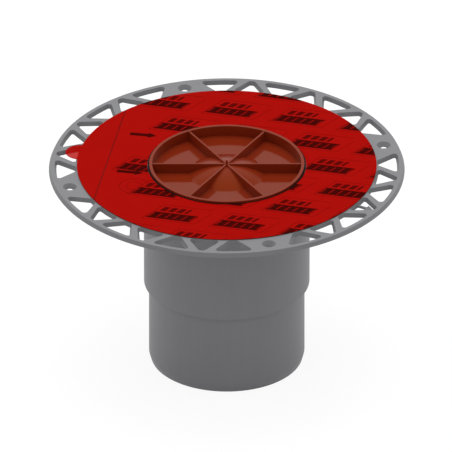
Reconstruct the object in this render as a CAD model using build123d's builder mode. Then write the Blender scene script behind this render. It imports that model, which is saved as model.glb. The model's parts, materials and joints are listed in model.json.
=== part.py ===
from build123d import *
import os
from math import cos, radians, sin, sqrt, tan

# Vertical floor drain for a 110 mm pipe: a flanged body with its peel-off film, site plug and odour trap.
# The origin is the centre of the spigot's end, which the body stands on. +Z is up, lengths are in mm.

# Drain body: spigot, collar and flange
spigot_d = 110.0
spigot_wall = 3.2
spigot_len = 61.0
lead_in_len = 4.8
lead_in_depth = 1.3
bore_step = 0.2
collar_wall = 3.6
collar_depth = 92.3
collar_draft = 0.15
shoulder_t = 3.0
flange_d = 251.7
flange_t = 3.0
flange_draft = 23.5
root_fillet = 2.5

# Truss ring in the flange: pockets that point in and out by turns, between the screw lands.
# Their outlines are those at the flange's underside, and they open towards the top by the same draft.
truss_rim_w = 5.4
truss_depth = 13.0
pocket_pitch = 21.55
outer_base_angle = 11.7
inner_base_angle = 10.5
strut_angle = 4.3
pocket_corner_r = 1.05
inward_pockets = 4

# Screw holes
screw_count = 4
screw_start_angle = 15.0
screw_edge_distance = 11.0
screw_hole_d = 4.6
screw_sink_d = 10.0
screw_sink_angle = 90.0

# Moulded web in one outward pocket: a plate at the underside on a thin stem, with a slit along one side
web_quadrant = 3
web_t = 1.5
web_stem_len = 6.5
web_stem_w = 1.5
web_slit_w = 2.2
web_fillet = 0.9
web_lap = 1.0

# Self-adhesive sealing layer and the two pieces of its peel-off film
film_margin = 1.45
film_t = 0.2
adhesive_t = 0.5
film_hole_clearance = 0.3
film_starter_w = 22.0
film_cut_gap = 0.25
tab_angle = 170.0
tab_r = 10.3
tab_overlap = 0.7

# Site plug
plug_bore_gap = 1.0
plug_rim_h = 1.35
plug_rim_w = 2.1
plug_floor_depth = 7.8
plug_floor_t = 1.8
plug_skirt_len = 11.0
plug_wall = 1.4
plug_bead_h = 1.1
plug_bead_out = 0.5
dome_foot_r = 26.5
dome_rise = 6.4
dome_foot_fillet = 3.0
rib_count = 3
rib_t = 1.3
rib_drop = 0.35
nub_r = 1.35
nub_tip_r = 0.6
nub_tip_fillet = 0.4
nub_rise = 3.0

# Lip seal of the plug
seal_flange_margin = 1.0
seal_flange_t = 0.8
seal_hub_t = 0.6
seal_running_clearance = 0.1
seal_lip_count = 3
seal_lip_h = 1.3
seal_lip_pitch = 2.8

# Odour trap: gasket, cup with standpipe, and bell
gasket_t = 1.5
gasket_lip_t = 1.0
gasket_lip_h = 3.5
gasket_clearance = 0.1
cup_bore_gap = 1.7
cup_wall = 1.8
cup_floor_t = 2.0
cup_rim_h = 3.0
bell_cup_gap = 9.7
bell_pipe_gap = 16.2
standpipe_wall = 2.0
standpipe_below = 10.0
trap_plug_gap = 3.55
bell_gap = 6.0
bell_wall = 1.8
bell_headroom = 11.0
bell_crown_fillet = 8.0
bell_foot_count = 3
bell_foot_t = 3.0
bell_foot_h = 20.0
foot_clearance = 0.4
knob_d = 26.0
knob_neck_d = 12.0
knob_h = 6.0
knob_head_t = 2.2

# Levels and radii that follow from the sizes above
ledge_z = spigot_len
shoulder_z = ledge_z + shoulder_t
flange_top = spigot_len + collar_depth
flange_bottom = flange_top - flange_t
spigot_r = spigot_d / 2
spigot_bore_r = spigot_r - spigot_wall
bore_r = spigot_r + bore_step
collar_r = bore_r + collar_wall
flange_r = flange_d / 2
truss_outer_r = flange_r - truss_rim_w
truss_inner_r = truss_outer_r - truss_depth
screw_circle_r = flange_r - screw_edge_distance
web_plate_r = truss_inner_r + web_stem_len
quadrant = 360.0 / screw_count
quadrant_middle = screw_start_angle + quadrant / 2
plug_outer_r = bore_r - plug_bore_gap
plug_inner_r = plug_outer_r - plug_wall
plug_rim_r = plug_inner_r + plug_rim_w
seal_flange_r = plug_rim_r + seal_flange_margin
film_r = truss_inner_r - film_margin
film_cut_r = film_r - film_starter_w
film_hole_r = seal_flange_r + film_hole_clearance
film_z = flange_top + adhesive_t


def on_circle(radius, angle):
    """The point at an angle in degrees on a circle about the axis."""
    return (radius * cos(radians(angle)), radius * sin(radians(angle)))


def pocket_outline(outer_half, inner_half):
    """One pocket round the X axis: arcs on the truss's two circles, joined by the sides of the struts."""
    outer_ends = [on_circle(truss_outer_r, -outer_half), on_circle(truss_outer_r, outer_half)]
    inner_ends = [on_circle(truss_inner_r, -inner_half), on_circle(truss_inner_r, inner_half)]
    ThreePointArc(outer_ends[0], (truss_outer_r, 0), outer_ends[1])
    Line(outer_ends[1], inner_ends[1])
    ThreePointArc(inner_ends[1], (truss_inner_r, 0), inner_ends[0])
    Line(inner_ends[0], outer_ends[0])


outer_tip_angle = pocket_pitch - outer_base_angle - 2 * strut_angle
inner_tip_angle = pocket_pitch - inner_base_angle - 2 * strut_angle

with BuildSketch() as inward_pocket:
    with BuildLine():
        pocket_outline(outer_base_angle / 2, inner_tip_angle / 2)
    make_face()
    fillet(inward_pocket.vertices(), pocket_corner_r)

with BuildSketch() as outward_pocket:
    with BuildLine():
        pocket_outline(outer_tip_angle / 2, inner_base_angle / 2)
    make_face()
    fillet(outward_pocket.vertices(), pocket_corner_r)


# Drain body: one moulding, turned in section, with the truss pockets, the screw holes and the odd web
with BuildPart() as drain_body:
    with BuildSketch(Plane.XZ):
        with BuildLine():
            Polyline(
                (spigot_bore_r, 0),
                (spigot_r - lead_in_depth, 0),
                (spigot_r, lead_in_len),
                (spigot_r, ledge_z),
                (collar_r - (collar_depth - flange_t) * tan(radians(collar_draft)), ledge_z),
                (collar_r, flange_bottom),
                (flange_r, flange_bottom),
                (flange_r - flange_t * tan(radians(flange_draft)), flange_top),
                (bore_r, flange_top),
                (bore_r, shoulder_z),
                (spigot_bore_r, shoulder_z),
                close=True,
            )
        make_face()
    revolve(axis=Axis.Z)
    collar_top = drain_body.edges().sort_by_distance((0, collar_r, flange_bottom))[0]
    fillet(collar_top, root_fillet)
    with BuildSketch(Plane.XY.offset(flange_bottom)):
        with PolarLocations(0, screw_count, start_angle=quadrant_middle):
            inward_span = (inward_pockets - 1) * pocket_pitch
            with PolarLocations(0, inward_pockets, -inward_span / 2, inward_span, endpoint=True):
                add(inward_pocket.sketch)
            outward_span = inward_span - pocket_pitch
            with PolarLocations(0, inward_pockets - 1, -outward_span / 2, outward_span, endpoint=True):
                add(outward_pocket.sketch)
    extrude(amount=flange_t, taper=-flange_draft, mode=Mode.SUBTRACT)
    with Locations((0, 0, flange_top)):
        with PolarLocations(screw_circle_r, screw_count, start_angle=screw_start_angle):
            CounterSinkHole(
                screw_hole_d / 2, screw_sink_d / 2, depth=flange_t, counter_sink_angle=screw_sink_angle
            )
    web_angle = quadrant_middle + web_quadrant * quadrant
    web_plane = Plane((0, 0, flange_bottom), x_dir=(*on_circle(1, web_angle), 0), z_dir=(0, 0, 1))
    side_foot = Vector(on_circle(truss_inner_r, inner_base_angle / 2))
    side_tip = Vector(on_circle(truss_outer_r, outer_tip_angle / 2))
    slit_foot = side_foot - (0, web_slit_w)
    slit_tip = side_tip - (0, web_slit_w)
    web_reach = truss_outer_r + web_lap
    with BuildSketch(web_plane) as web:
        add(outward_pocket.sketch)
        offset(amount=web_lap)
        with BuildLine():
            Polyline(
                slit_foot,
                slit_tip,
                (web_reach, slit_tip.Y),
                (web_reach, -web_reach),
                (slit_foot.X, -web_reach),
                close=True,
            )
        make_face(mode=Mode.INTERSECT)
        with Locations((web_plate_r, 0)):
            Rectangle(web_reach, web_reach, align=(Align.MIN, Align.CENTER), mode=Mode.INTERSECT)
        with Locations((web_plate_r + web_lap, 0)):
            Rectangle(web_stem_len + 2 * web_lap, web_stem_w, align=(Align.MAX, Align.CENTER))
        fillet(web.vertices().sort_by_distance((web_plate_r, 0))[0:2], web_fillet)
    extrude(amount=web_t)
drain_body.part.label = "drain_body"

# Sealing layer on the flange, under the film
with BuildPart() as sealing_ring:
    with BuildSketch(Plane.XY.offset(flange_top)):
        Circle(film_r)
        Circle(film_hole_r, mode=Mode.SUBTRACT)
    extrude(amount=adhesive_t)
sealing_ring.part.label = "sealing_ring"

# Peel-off film: a straight cut divides the starter strip with its pull tab from the rest
film_plane = Plane((0, 0, film_z), x_dir=(*on_circle(1, tab_angle), 0), z_dir=(0, 0, 1))

with BuildPart() as release_film:
    with BuildSketch(film_plane):
        Circle(film_r)
        Circle(film_hole_r, mode=Mode.SUBTRACT)
        with Locations((film_cut_r - film_cut_gap / 2, 0)):
            Rectangle(2 * film_r, 2 * film_r, align=(Align.MIN, Align.CENTER), mode=Mode.SUBTRACT)
    extrude(amount=film_t)
release_film.part.label = "release_film"

with BuildPart() as release_film_starter:
    with BuildSketch(film_plane):
        Circle(film_r)
        with Locations((film_cut_r + film_cut_gap / 2, 0)):
            Rectangle(2 * film_r, 2 * film_r, align=(Align.MAX, Align.CENTER), mode=Mode.SUBTRACT)
        with Locations((film_r - tab_overlap, 0)):
            Circle(tab_r)
    extrude(amount=film_t)
release_film_starter.part.label = "release_film_starter"

# Site plug: rim on the seal's flange, wall, floor with a domed middle, six ribs and a centre nub
rim_bottom = flange_top + seal_flange_t
rim_top = rim_bottom + plug_rim_h
plug_floor_z = rim_top - plug_floor_depth
skirt_bottom = flange_top - plug_skirt_len
dome_top = plug_floor_z + dome_rise
dome_r = (dome_foot_r ** 2 + dome_rise ** 2) / (2 * dome_rise)
dome_centre = dome_top - dome_r
rib_top = rim_top - rib_drop


def dome_point(radius, x):
    """The point of a sphere about the dome's centre at a distance from the axis."""
    return (x, dome_centre + sqrt(radius ** 2 - x ** 2))


under_dome_r = dome_r - plug_floor_t
under_floor_z = plug_floor_z - plug_floor_t
under_foot_r = sqrt(under_dome_r ** 2 - (under_floor_z - dome_centre) ** 2)

with BuildPart() as site_plug:
    with BuildSketch(Plane.XZ) as plug_section:
        with BuildLine():
            ThreePointArc(
                (0, dome_top), dome_point(dome_r, dome_foot_r / 2), (dome_foot_r, plug_floor_z)
            )
            Polyline(
                (dome_foot_r, plug_floor_z),
                (plug_inner_r, plug_floor_z),
                (plug_inner_r, rim_top),
                (plug_rim_r, rim_top),
                (plug_rim_r, rim_bottom),
                (plug_outer_r, rim_bottom),
                (plug_outer_r, skirt_bottom + plug_bead_h),
                (plug_outer_r + plug_bead_out, skirt_bottom + plug_bead_h),
                (plug_outer_r, skirt_bottom),
                (plug_inner_r, skirt_bottom),
                (plug_inner_r, under_floor_z),
                (0, under_floor_z),
                (0, dome_top),
            )
        make_face()
        foot = plug_section.vertices().sort_by_distance((dome_foot_r, plug_floor_z))[0]
        fillet(foot, dome_foot_fillet)
    revolve(axis=Axis.Z)
    with BuildSketch(Plane.XY.offset(plug_floor_z)):
        with PolarLocations(0, rib_count, angular_range=180):
            Rectangle(2 * plug_inner_r + plug_wall, rib_t)
    extrude(amount=rib_top - plug_floor_z)
    with BuildSketch(Plane.XZ):
        with BuildLine():
            ThreePointArc(
                (0, dome_top - plug_floor_t),
                dome_point(under_dome_r, under_foot_r / 2),
                (under_foot_r, under_floor_z),
            )
            Polyline((under_foot_r, under_floor_z), (0, under_floor_z), (0, dome_top - plug_floor_t))
        make_face()
    revolve(axis=Axis.Z, mode=Mode.SUBTRACT)
    with Locations((0, 0, dome_top - plug_floor_t / 2)):
        nub_len = rib_top + nub_rise - dome_top + plug_floor_t / 2
        Cone(nub_r, nub_tip_r, nub_len, align=(Align.CENTER, Align.CENTER, Align.MIN))
    fillet(site_plug.edges().sort_by(Axis.Z)[-1], nub_tip_fillet)
site_plug.part.label = "site_plug"

# Lip seal: a flange that seats on the body's mouth, a hub on the plug's wall and lips along the bore
seal_hub_r = plug_outer_r + seal_hub_t
seal_lip_r = bore_r - seal_running_clearance
seal_bottom = skirt_bottom + plug_bead_h

with BuildPart() as plug_seal:
    with BuildSketch(Plane.XZ):
        with BuildLine():
            lips = []
            for lip in range(seal_lip_count):
                lip_z = flange_top - seal_lip_pitch / 2 - lip * seal_lip_pitch
                lips += [(seal_hub_r, lip_z), (seal_lip_r, lip_z), (seal_hub_r, lip_z - seal_lip_h)]
            Polyline(
                (plug_outer_r, rim_bottom),
                (seal_flange_r, rim_bottom),
                (seal_flange_r, flange_top),
                (seal_hub_r, flange_top),
                *lips,
                (seal_hub_r, seal_bottom),
                (plug_outer_r, seal_bottom),
                close=True,
            )
        make_face()
    revolve(axis=Axis.Z)
plug_seal.part.label = "plug_seal"

# Levels and radii of the odour trap, which fills the room between the body's shoulder and the plug
cup_bottom = shoulder_z + gasket_t
cup_floor_z = cup_bottom + cup_floor_t
bell_rim_z = cup_floor_z + bell_gap
bell_top_z = under_floor_z - trap_plug_gap - knob_h
bell_roof_z = bell_top_z - bell_wall
weir_z = bell_roof_z - bell_headroom
cup_r = bore_r - cup_bore_gap
cup_inner_r = cup_r - cup_wall
cup_rim_r = bore_r - foot_clearance
bell_r = cup_inner_r - bell_cup_gap
standpipe_r = bell_r - bell_wall - bell_pipe_gap

# Trap gasket: an L-shaped ring on the body's shoulder that holds the cup's foot

with BuildPart() as trap_gasket:
    with BuildSketch(Plane.XZ):
        with BuildLine():
            Polyline(
                (spigot_bore_r, shoulder_z),
                (bore_r - gasket_clearance, shoulder_z),
                (cup_r + gasket_lip_t, cup_bottom + gasket_lip_h),
                (cup_r, cup_bottom + gasket_lip_h),
                (cup_r, cup_bottom),
                (spigot_bore_r, cup_bottom),
                close=True,
            )
        make_face()
    revolve(axis=Axis.Z)
trap_gasket.part.label = "trap_gasket"

# Trap cup: floor, outer wall with a centring rim, and the standpipe that the water flows down.
# Its weir keeps a water seal of 50 mm over the bell's rim.
with BuildPart() as trap_cup:
    with BuildSketch(Plane.XZ):
        with BuildLine():
            Polyline(
                (standpipe_r - standpipe_wall, cup_bottom - standpipe_below),
                (standpipe_r, cup_bottom - standpipe_below),
                (standpipe_r, cup_bottom),
                (cup_r, cup_bottom),
                (cup_r, weir_z - 2 * cup_rim_h),
                (cup_rim_r, weir_z - cup_rim_h),
                (cup_rim_r, weir_z),
                (cup_inner_r, weir_z),
                (cup_inner_r, cup_floor_z),
                (standpipe_r, cup_floor_z),
                (standpipe_r, weir_z),
                (standpipe_r - standpipe_wall, weir_z),
                close=True,
            )
        make_face()
    revolve(axis=Axis.Z)
trap_cup.part.label = "trap_cup"

# Trap bell: stands over the standpipe on three fins that also centre it in the cup, with a pull knob
with BuildPart() as trap_bell:
    with BuildSketch(Plane.XZ) as bell_section:
        with BuildLine():
            Polyline(
                (0, bell_roof_z),
                (bell_r - bell_wall, bell_roof_z),
                (bell_r - bell_wall, bell_rim_z),
                (bell_r, bell_rim_z),
                (bell_r, bell_top_z),
                (0, bell_top_z),
                close=True,
            )
        make_face()
        crown = bell_section.vertices().sort_by_distance((bell_r, bell_top_z))[0]
        fillet(crown, bell_crown_fillet)
        inside_crown = bell_section.vertices().sort_by_distance((bell_r - bell_wall, bell_roof_z))[0]
        fillet(inside_crown, bell_crown_fillet - bell_wall)
    revolve(axis=Axis.Z)
    foot_reach = cup_inner_r - foot_clearance
    with BuildSketch(Plane.XY.offset(cup_floor_z)):
        with PolarLocations((foot_reach + bell_r - bell_wall) / 2, bell_foot_count):
            Rectangle(foot_reach - bell_r + bell_wall, bell_foot_t)
    extrude(amount=bell_foot_h)
    with BuildSketch(Plane.XZ):
        with BuildLine():
            Polyline(
                (0, bell_top_z),
                (knob_neck_d / 2, bell_top_z),
                (knob_neck_d / 2, bell_top_z + knob_h - knob_head_t),
                (knob_d / 2, bell_top_z + knob_h - knob_head_t),
                (knob_d / 2, bell_top_z + knob_h),
                (0, bell_top_z + knob_h),
                close=True,
            )
        make_face()
    revolve(axis=Axis.Z)
trap_bell.part.label = "trap_bell"

os.makedirs("parts", exist_ok=True)
pieces = [
    drain_body,
    sealing_ring,
    release_film,
    release_film_starter,
    site_plug,
    plug_seal,
    trap_gasket,
    trap_cup,
    trap_bell,
]
for piece in pieces:
    export_step(piece.part, f"parts/{piece.part.label}.step")
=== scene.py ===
"""Looks of the vertical floor drain: finishes of the moulded body, the printed release film, the glossy
site plug with its lip seal and the odour trap inside, on a plain pale floor. Everything is in metres."""
import bpy
import json
import numpy as np
from functools import cached_property
from math import cos, pi, radians, sin
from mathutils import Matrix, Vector


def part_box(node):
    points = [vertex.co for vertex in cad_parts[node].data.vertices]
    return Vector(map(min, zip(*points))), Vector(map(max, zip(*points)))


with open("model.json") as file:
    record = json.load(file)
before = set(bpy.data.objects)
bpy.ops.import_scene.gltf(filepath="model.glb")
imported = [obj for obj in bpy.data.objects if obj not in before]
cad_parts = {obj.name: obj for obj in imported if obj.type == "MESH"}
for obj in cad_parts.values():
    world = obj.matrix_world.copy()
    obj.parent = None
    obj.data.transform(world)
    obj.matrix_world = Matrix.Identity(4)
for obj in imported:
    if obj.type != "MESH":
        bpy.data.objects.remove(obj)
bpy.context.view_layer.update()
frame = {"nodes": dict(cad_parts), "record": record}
MM = 0.001

# The camera looks square-on, without perspective, from above the front. The flange's pixel is where the
# middle of its top falls in the picture, counted from the picture's upper left corner.
IMAGE_PIXELS = 452
PIXELS_PER_METRE = 1414.0
FLANGE_PIXEL = (226.77, 165.79)
CAMERA_ELEVATION = radians(29.79)
CAMERA_DISTANCE = 1.6

# Places on the drain. The flange's side faces are its rim and the walls of its pockets and screw holes.
# These side faces get a painted shade: a darker copy of the grey.
flange_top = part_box("drain_body")[1].z
film_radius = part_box("release_film")[1].y
PAINTED_SHADE_BOTTOM = flange_top - 2.93 * MM
PAINTED_SHADE_TOP = flange_top - 0.07 * MM
INSIDE_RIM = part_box("drain_body")[1].y - 2.8 * MM
TAB_ANGLE = 170.0
FILM_CUT_RADIUS = 84.0 * MM
DOME_RADIUS = 26.0 * MM

# How much of the side faces' painted shade the rim has
RIM_PAINTED_SHADE_SHARE = 0.6

# How clear the film is in its depth, and how much shows through each of its faces where it covers nothing
FILM_CLEARNESS = 0.3
FILM_SHOWS_THROUGH = 0.2

# The film's print: rows of one motif, turned by an angle, each shifted along by a share of the pitch.
# Motifs whose middle lies beyond the end, towards the tab, are left out.
PRINT_ANGLE = -14.0
PRINT_PITCH = (49.0 * MM, 31.0 * MM)
PRINT_START = 1.0 * MM
PRINT_SHIFT = 0.38
PRINT_END = 60.0 * MM
SOFT_EDGE = 0.35 * MM
LINE_EDGE = 0.3 * MM
FRAME_EDGE = 0.2 * MM
CELL_EDGE = 0.1 * MM

# One motif, from its middle. Pairs are the lowest and highest values, along the slant or across the row.
MOTIF_SLANT = 0.5
BAR_HEIGHTS = (-9.0 * MM, 0.2 * MM)
BAR_ENDS = (-16.0 * MM, 16.0 * MM)
SLIT_HEIGHTS = (-7.5 * MM, -1.3 * MM)
SLIT_PITCH = 6.0 * MM
SLIT_HALF_WIDTH = 0.6 * MM
SLIT_PALENESS = 0.7
LOZENGE_HEIGHTS = (1.9 * MM, 8.1 * MM)
LOZENGE_ENDS = (-14.0 * MM, 6.0 * MM)
LOZENGE_HALF_GAP = 0.9 * MM
LOZENGE_INK = 0.85
FRAME_MIDDLE = 2.0 * MM
FRAME_HALF_LENGTH = 19.0 * MM
FRAME_HALF_HEIGHT = 11.0 * MM
FRAME_HALF_LINE = 0.3 * MM
FRAME_INK = 0.5

# The arrows, symbol and cut line. Distances along an arrow are from the drain's axis towards the tab.
ARROWS_MIDDLE = -5.1 * MM
ARROWS_HALF_SPACING = 26.9 * MM
ARROW_HEAD_ENDS = (56.0 * MM, 62.0 * MM)
ARROW_HEAD_SLOPE = 0.6
ARROW_SHAFT_ENDS = (61.0 * MM, 75.0 * MM)
ARROW_SHAFT_HALF_WIDTH = 1.9 * MM
SYMBOL_CENTRE = (-65.4 * MM, -30.0 * MM)
SYMBOL_RADII = (5.8 * MM, 10.5 * MM)
SYMBOL_HALF_LINE = 0.35 * MM
SYMBOL_INK = 0.4
CUT_HALF_LINE = 0.5 * MM
CUT_INK = 0.4

# Light: strengths of the world and the floor, and the lamps' places, sizes and watts
WORLD_LIGHT = 0.75
FLOOR_HALF_WIDTH = 6.0
FLOOR_COLOUR = 0.66
FLOOR_WHITE = 1.11
FLOOR_WHITE_SHARE = 0.8
OVERHEAD_PLACE = (0.0, 0.25, 1.8)
OVERHEAD_SIZE = 1.5
OVERHEAD_POWER = 16.5
SIDE_PLACE = (1.6, 0.3, 0.5)
SIDE_SIZE = 1.2
SIDE_POWER = 2.4


class Value:
    """A socket in a node tree. Sums, products and the methods below add Math nodes to that tree."""

    def __init__(self, nodes, socket):
        self.nodes = nodes
        self.socket = socket

    def __add__(self, other):
        return self.nodes.math("ADD", self, other)

    def __radd__(self, other):
        return self.nodes.math("ADD", other, self)

    def __sub__(self, other):
        return self.nodes.math("SUBTRACT", self, other)

    def __rsub__(self, other):
        return self.nodes.math("SUBTRACT", other, self)

    def __mul__(self, other):
        return self.nodes.math("MULTIPLY", self, other)

    def __rmul__(self, other):
        return self.nodes.math("MULTIPLY", other, self)

    def __truediv__(self, other):
        return self.nodes.math("DIVIDE", self, other)

    def __abs__(self):
        return self.nodes.math("ABSOLUTE", self)

    def root(self):
        return self.nodes.math("SQRT", self)

    def fract(self):
        return self.nodes.math("FRACT", self)

    def floor(self):
        return self.nodes.math("FLOOR", self)

    def least(self, other):
        return self.nodes.math("MINIMUM", self, other)

    def most(self, other):
        return self.nodes.math("MAXIMUM", self, other)

    def below(self, edge, blur):
        """1 where this value is under the edge, 0 where it is over, with a soft step of width blur."""
        return self.nodes.math("MULTIPLY_ADD", self, -1.0 / blur, edge / blur + 0.5, clamp=True)

    def above(self, edge, blur):
        return 1.0 - self.below(edge, blur)

    def between(self, ends, blur):
        """1 from the lowest to the highest of two ends, 0 outside them."""
        lowest, highest = ends
        return abs(self - (lowest + highest) / 2).below((highest - lowest) / 2, blur)


class Nodes:
    """A node tree, and the ways to add nodes to it."""

    def __init__(self, owner):
        owner.use_nodes = True
        self.tree = owner.node_tree

    def node(self, kind, settings=(), **inputs):
        """Any node: its settings first, then values or links for its sockets. A socket is given by its name,
        with _ for each space, or by i and its number."""
        made = self.tree.nodes.new(kind)
        for setting, value in dict(settings).items():
            setattr(made, setting, value)
        for name, value in inputs.items():
            socket = made.inputs[int(name[1:]) if name[1:].isdigit() else name.replace("_", " ")]
            if isinstance(value, Value):
                self.tree.links.new(value.socket, socket)
            else:
                socket.default_value = value
        return made

    def value(self, made, output=0):
        return Value(self, made.outputs[output])

    def math(self, operation, first, second=None, third=None, clamp=False):
        given = {"i0": first, "i1": second, "i2": third}
        inputs = {name: value for name, value in given.items() if value is not None}
        settings = {"operation": operation, "use_clamp": clamp}
        return self.value(self.node("ShaderNodeMath", settings, **inputs))

    def link(self, value, node, socket):
        self.tree.links.new(value.socket, self.tree.nodes[node].inputs[socket])

    def seen(self):
        """1 for rays from the camera and from glossy or clear surfaces, 0 for the others."""
        path = self.node("ShaderNodeLightPath")
        kinds = ("Is Camera Ray", "Is Glossy Ray", "Is Transmission Ray")
        from_camera, from_glossy, from_clear = (self.value(path, kind) for kind in kinds)
        return from_camera.most(from_glossy).most(from_clear)


class Paint(Nodes):
    """One material: a Principled shader and the nodes that feed it."""

    def __init__(self, name, **constants):
        self.material = bpy.data.materials.new(name)
        super().__init__(self.material)
        self.shader = self.tree.nodes["Principled BSDF"]
        for socket, value in constants.items():
            self.shader.inputs[socket.replace("_", " ")].default_value = value

    @cached_property
    def place(self):
        """The point on the piece as a vector, in metres."""
        return self.value(self.node("ShaderNodeTexCoord"), "Object")

    @cached_property
    def axes(self):
        """The same point as x, y and z."""
        split = self.node("ShaderNodeSeparateXYZ", Vector=self.place)
        return [self.value(split, axis) for axis in range(3)]

    def turned(self, degrees):
        """x and y in a frame that is turned by an angle about the drain's axis."""
        x, y, _ = self.axes
        along, across = cos(radians(degrees)), sin(radians(degrees))
        return x * along + y * across, y * along - x * across

    def radius(self, centre=(0.0, 0.0)):
        """How far the point is from the drain's axis, or from a line beside it."""
        x, y, _ = self.axes
        from_x, from_y = x - centre[0], y - centre[1]
        return (from_x * from_x + from_y * from_y).root()

    def noise(self, size, detail=2.0, stretch=(1.0, 1.0, 1.0)):
        """Noise from 0 to 1 with grains of about this size, drawn out by stretch along each axis."""
        shares = tuple(1.0 / along for along in stretch)
        where = self.value(self.node("ShaderNodeMapping", Vector=self.place, Scale=shares))
        return self.value(self.node("ShaderNodeTexNoise", Vector=where, Scale=1.0 / size, Detail=detail))

    def colours(self, mask, first, second):
        """Mixes two colours by a mask: the first where it is 0, the second where it is 1."""
        mix = self.node("ShaderNodeMix", {"data_type": "RGBA"}, i0=mask, i6=first, i7=second)
        return self.value(mix, 2)

    def bump(self, height, distance, strength):
        return self.value(self.node("ShaderNodeBump", Height=height, Distance=distance, Strength=strength))

    def feed(self, **sockets):
        """Links values to the shader's own sockets."""
        for name, value in sockets.items():
            self.tree.links.new(value.socket, self.shader.inputs[name.replace("_", " ")])
        return self.material


def rgb(red, green, blue):
    """A display colour from 0 to 255 as the linear colour that the shader takes."""
    display = np.array([red, green, blue]) / 255.0
    linear = np.where(display <= 0.04045, display / 12.92, ((display + 0.055) / 1.055) ** 2.4)
    return (*map(float, linear), 1.0)


def moulded_body():
    """Grey pipe plastic: fine spark-eroded grain, faint flow marks along the axis, cloudy gloss. The walls
    of the pockets and screw holes have a painted shade, a darker copy of the grey, and the flange's rim has a
    share of it."""
    paint = Paint("grey_moulded_pipe_plastic", Specular_IOR_Level=0.4)
    clouds = paint.noise(35.0 * MM, detail=3.0)
    flow = paint.noise(4.0 * MM, stretch=(1.0, 1.0, 14.0))
    grain = paint.noise(0.45 * MM)
    tone = 0.5 * clouds + 0.3 * flow + 0.2 * grain
    faces = paint.colours(tone, rgb(113, 113, 116), rgb(125, 125, 127))
    # Painted shade: a darker copy of the grey, laid on the pocket walls, screw holes and, by a share, the rim
    side_faces_painted_shade = paint.colours(tone, rgb(100, 100, 103), rgb(111, 111, 113))
    _, _, z = paint.axes
    painted_shade_mask = z.between((PAINTED_SHADE_BOTTOM, PAINTED_SHADE_TOP), 0.1 * MM)
    painted_shade_share = RIM_PAINTED_SHADE_SHARE + (1.0 - RIM_PAINTED_SHADE_SHARE) * paint.radius().below(INSIDE_RIM, 1.0 * MM)
    colour = paint.colours(painted_shade_mask * painted_shade_share, faces, side_faces_painted_shade)
    gloss = 0.40 + 0.10 * clouds + 0.08 * grain
    normal = paint.bump(grain + 0.25 * flow, 0.03 * MM, 0.5)
    return paint.feed(Base_Color=colour, Roughness=gloss, Normal=normal)


def sealing_layer():
    """Tacky butyl layer: near black with a matt, slightly lumpy face."""
    paint = Paint("butyl_sealing_layer", Specular_IOR_Level=0.1)
    lumps = paint.noise(1.6 * MM, detail=3.0)
    colour = paint.colours(lumps, rgb(34, 34, 32), rgb(54, 54, 50))
    normal = paint.bump(lumps, 0.1 * MM, 0.6)
    return paint.feed(Base_Color=colour, Roughness=0.55 + 0.25 * lumps, Normal=normal)


def release_film():
    """Glossy red film with dark ink, slightly wavy. The pull tab, which covers nothing, lets light through."""
    paint = Paint("red_printed_release_film", IOR=1.03, Transmission_Weight=FILM_CLEARNESS)
    ink = film_print(paint)
    waves = paint.noise(22.0 * MM)
    fine = paint.noise(1.8 * MM)
    red = paint.colours(waves, rgb(177, 13, 7), rgb(187, 15, 9))
    colour = paint.colours(ink * (0.86 + 0.14 * fine), red, rgb(52, 4, 2))
    gloss = 0.30 + 0.12 * fine + 0.10 * ink
    normal = paint.bump(waves, 0.12 * MM, 0.5)
    tab = paint.radius().above(film_radius + 0.3 * MM, 0.3 * MM)
    solid = 1.0 - FILM_SHOWS_THROUGH * tab
    return paint.feed(Base_Color=colour, Roughness=gloss, Normal=normal, Alpha=solid)


def film_print(paint):
    """The whole print as a mask, 1 on ink: rows of the motif, two arrows, a symbol and the cut line."""
    u, v = paint.turned(PRINT_ANGLE)
    v = v - PRINT_START
    row = (v / PRINT_PITCH[1]).floor()
    column = (u / PRINT_PITCH[0] + row * PRINT_SHIFT).floor()
    middle = ((column + 0.5 - row * PRINT_SHIFT) * PRINT_PITCH[0], (row + 0.5) * PRINT_PITCH[1])
    turn = radians(PRINT_ANGLE - TAB_ANGLE)
    towards_tab = middle[0] * cos(turn) - middle[1] * sin(turn)
    motifs = motif(u - middle[0], v - middle[1]) * towards_tab.below(PRINT_END, CELL_EDGE)
    marks = arrows(paint).most(SYMBOL_INK * line_symbol(paint)).most(CUT_INK * cut_line(paint))
    return motifs.most(marks)


def motif(along, up):
    """One motif as a mask: a slanted bar with slits, a row of lozenges over it, and a thin frame."""
    slant = along - up * MOTIF_SLANT
    from_slit = abs((slant / SLIT_PITCH).fract() - 0.5) * SLIT_PITCH
    bar = up.between(BAR_HEIGHTS, SOFT_EDGE) * slant.between(BAR_ENDS, SOFT_EDGE)
    slits = from_slit.below(SLIT_HALF_WIDTH, SOFT_EDGE) * up.between(SLIT_HEIGHTS, SOFT_EDGE)
    lozenges = from_slit.above(LOZENGE_HALF_GAP, SOFT_EDGE) * up.between(LOZENGE_HEIGHTS, SOFT_EDGE)
    lozenges = lozenges * slant.between(LOZENGE_ENDS, SOFT_EDGE)
    from_frame = (abs(slant - FRAME_MIDDLE) - FRAME_HALF_LENGTH).most(abs(up) - FRAME_HALF_HEIGHT)
    thin_frame = abs(from_frame).below(FRAME_HALF_LINE, FRAME_EDGE)
    return (bar * (1.0 - SLIT_PALENESS * slits)).most(LOZENGE_INK * lozenges).most(FRAME_INK * thin_frame)


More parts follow.
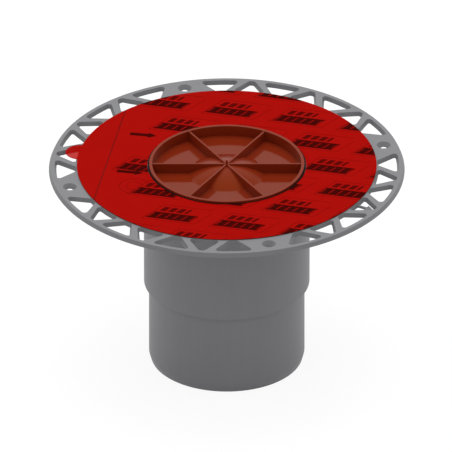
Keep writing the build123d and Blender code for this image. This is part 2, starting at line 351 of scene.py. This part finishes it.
def arrows(paint):
    """Two plain arrows in the band beside the cut, a shaft and a head each, which point away from the tab."""
    x, y = paint.turned(TAB_ANGLE)
    from_arrow = abs(abs(y - ARROWS_MIDDLE) - ARROWS_HALF_SPACING)
    shaft = from_arrow.below(ARROW_SHAFT_HALF_WIDTH, SOFT_EDGE) * x.between(ARROW_SHAFT_ENDS, SOFT_EDGE)
    past_side = from_arrow - (x - ARROW_HEAD_ENDS[0]) * ARROW_HEAD_SLOPE
    head = past_side.below(0.0, SOFT_EDGE) * x.between(ARROW_HEAD_ENDS, SOFT_EDGE)
    return shaft.most(head)


def line_symbol(paint):
    """Two thin circles, one in the other, beside the lower arrow: a plain drain seen from above."""
    away = paint.radius(SYMBOL_CENTRE)
    from_inner, from_outer = (abs(away - radius) for radius in SYMBOL_RADII)
    return from_inner.least(from_outer).below(SYMBOL_HALF_LINE, LINE_EDGE)


def cut_line(paint):
    """The dark edges of the straight cut between the starter strip and the rest of the film."""
    x, _ = paint.turned(TAB_ANGLE)
    return x.between((FILM_CUT_RADIUS - CUT_HALF_LINE, FILM_CUT_RADIUS + CUT_HALF_LINE), LINE_EDGE)


def plug_plastic():
    """Glossy red-brown plastic that mirrors its own ribs and walls, with a less glossy dome."""
    paint = Paint("glossy_red_brown_plastic", IOR=1.3, Specular_Tint=(1.0, 0.4, 0.0, 1.0))
    clouds = paint.noise(18.0 * MM, detail=3.0)
    fine = paint.noise(1.2 * MM)
    colour = paint.colours(clouds, rgb(116, 35, 14), rgb(123, 38, 17))
    dome = paint.radius().below(DOME_RADIUS, 4.0 * MM)
    gloss = 0.07 + 0.06 * fine + 0.16 * dome
    normal = paint.bump(clouds, 0.04 * MM, 0.3)
    return paint.feed(Base_Color=colour, Roughness=gloss, Normal=normal)


def seal_rubber():
    """Black lip seal rubber: matt, with a fine dusty bloom."""
    paint = Paint("black_seal_rubber", Specular_IOR_Level=0.08)
    bloom = paint.noise(2.5 * MM, detail=3.0)
    fine = paint.noise(0.4 * MM)
    colour = paint.colours(bloom, rgb(9, 8, 7), rgb(19, 18, 17))
    normal = paint.bump(fine, 0.03 * MM, 0.5)
    return paint.feed(Base_Color=colour, Roughness=0.5 + 0.25 * bloom, Normal=normal)


def trap_plastic():
    """Light grey plastic of the hidden trap: smooth and slightly waxy."""
    paint = Paint("light_grey_trap_plastic", Specular_IOR_Level=0.45)
    clouds = paint.noise(30.0 * MM, detail=3.0)
    fine = paint.noise(0.8 * MM)
    colour = paint.colours(clouds, rgb(205, 206, 203), rgb(216, 217, 214))
    normal = paint.bump(fine, 0.02 * MM, 0.4)
    return paint.feed(Base_Color=colour, Roughness=0.32 + 0.12 * fine, Normal=normal)


def finish_nodes():
    """Gives each CAD node the finish of its material slot."""
    finishes = {
        "body_plastic": moulded_body(),
        "sealing_layer": sealing_layer(),
        "film": release_film(),
        "plug_plastic": plug_plastic(),
        "seal_rubber": seal_rubber(),
        "trap_plastic": trap_plastic(),
    }
    for subpart in frame["record"]["subparts"]:
        node = frame["nodes"][subpart["node"]]
        node.data.materials.clear()
        node.data.materials.append(finishes[subpart["material_slot"]])


def pale_floor():
    """A wide pale floor that shows as white with the drain's soft shadow."""
    half = FLOOR_HALF_WIDTH
    corners = [(-half, -half, 0.0), (half, -half, 0.0), (half, half, 0.0), (-half, half, 0.0)]
    mesh = bpy.data.meshes.new("pale_floor")
    mesh.from_pydata(corners, [], [(0, 1, 2, 3)])
    floor = bpy.data.objects.new("pale_floor", mesh)
    bpy.context.scene.collection.objects.link(floor)
    grey = (FLOOR_COLOUR, FLOOR_COLOUR, FLOOR_COLOUR, 1.0)
    paint = Paint("pale_floor_paint", Base_Color=grey, Roughness=0.9, Specular_IOR_Level=0.0)
    white = paint.node("ShaderNodeEmission", Strength=FLOOR_WHITE)
    mix = paint.node("ShaderNodeMixShader", i0=FLOOR_WHITE_SHARE * paint.seen())
    paint.tree.links.new(paint.shader.outputs[0], mix.inputs[1])
    paint.tree.links.new(white.outputs[0], mix.inputs[2])
    paint.link(paint.value(mix), "Material Output", "Surface")
    mesh.materials.append(paint.material)


def even_world():
    """A world of even light that shows as pure white."""
    world = bpy.data.worlds.new("even_studio")
    bpy.context.scene.world = world
    nodes = Nodes(world)
    nodes.tree.nodes["Background"].inputs["Color"].default_value = (1.0, 1.0, 1.0, 1.0)
    strength = nodes.math("MULTIPLY_ADD", nodes.seen(), 1.0 - WORLD_LIGHT, WORLD_LIGHT)
    nodes.link(strength, "Background", "Strength")


def lamp(name, place, aim, size, power):
    """A square soft lamp at a place, turned to the point that it aims at."""
    light = bpy.data.lights.new(name, "AREA")
    light.size = size
    light.energy = power
    holder = bpy.data.objects.new(name, light)
    bpy.context.scene.collection.objects.link(holder)
    holder.location = place
    holder.rotation_euler = (Vector(aim) - Vector(place)).to_track_quat("-Z", "Y").to_euler()
    holder.visible_glossy = False


def lamps():
    """One wide lamp overhead and a weak one at each side, all far larger than the drain."""
    lamp("overhead_softbox", OVERHEAD_PLACE, (0.0, 0.0, flange_top), OVERHEAD_SIZE, OVERHEAD_POWER)
    middle = (0.0, 0.0, flange_top / 2)
    x, y, z = SIDE_PLACE
    lamp("left_softbox", (-x, y, z), middle, SIDE_SIZE, SIDE_POWER)
    lamp("right_softbox", (x, y, z), middle, SIDE_SIZE, SIDE_POWER)


def camera():
    """A camera without perspective, placed so that the flange's middle falls on its pixel."""
    data = bpy.data.cameras.new("photo_camera")
    data.type = "ORTHO"
    data.ortho_scale = IMAGE_PIXELS / PIXELS_PER_METRE
    right = (FLANGE_PIXEL[0] - IMAGE_PIXELS / 2) / PIXELS_PER_METRE
    up = (IMAGE_PIXELS / 2 - FLANGE_PIXEL[1]) / PIXELS_PER_METRE
    target_z = flange_top - up / cos(CAMERA_ELEVATION)
    holder = bpy.data.objects.new("photo_camera", data)
    holder.rotation_euler = (pi / 2 - CAMERA_ELEVATION, 0.0, 0.0)
    holder.location = (
        -right,
        -CAMERA_DISTANCE * cos(CAMERA_ELEVATION),
        target_z + CAMERA_DISTANCE * sin(CAMERA_ELEVATION),
    )
    bpy.context.scene.collection.objects.link(holder)
    bpy.context.scene.camera = holder


camera()
finish_nodes()
pale_floor()
even_world()
lamps()
bpy.context.scene.view_settings.view_transform = "Standard"
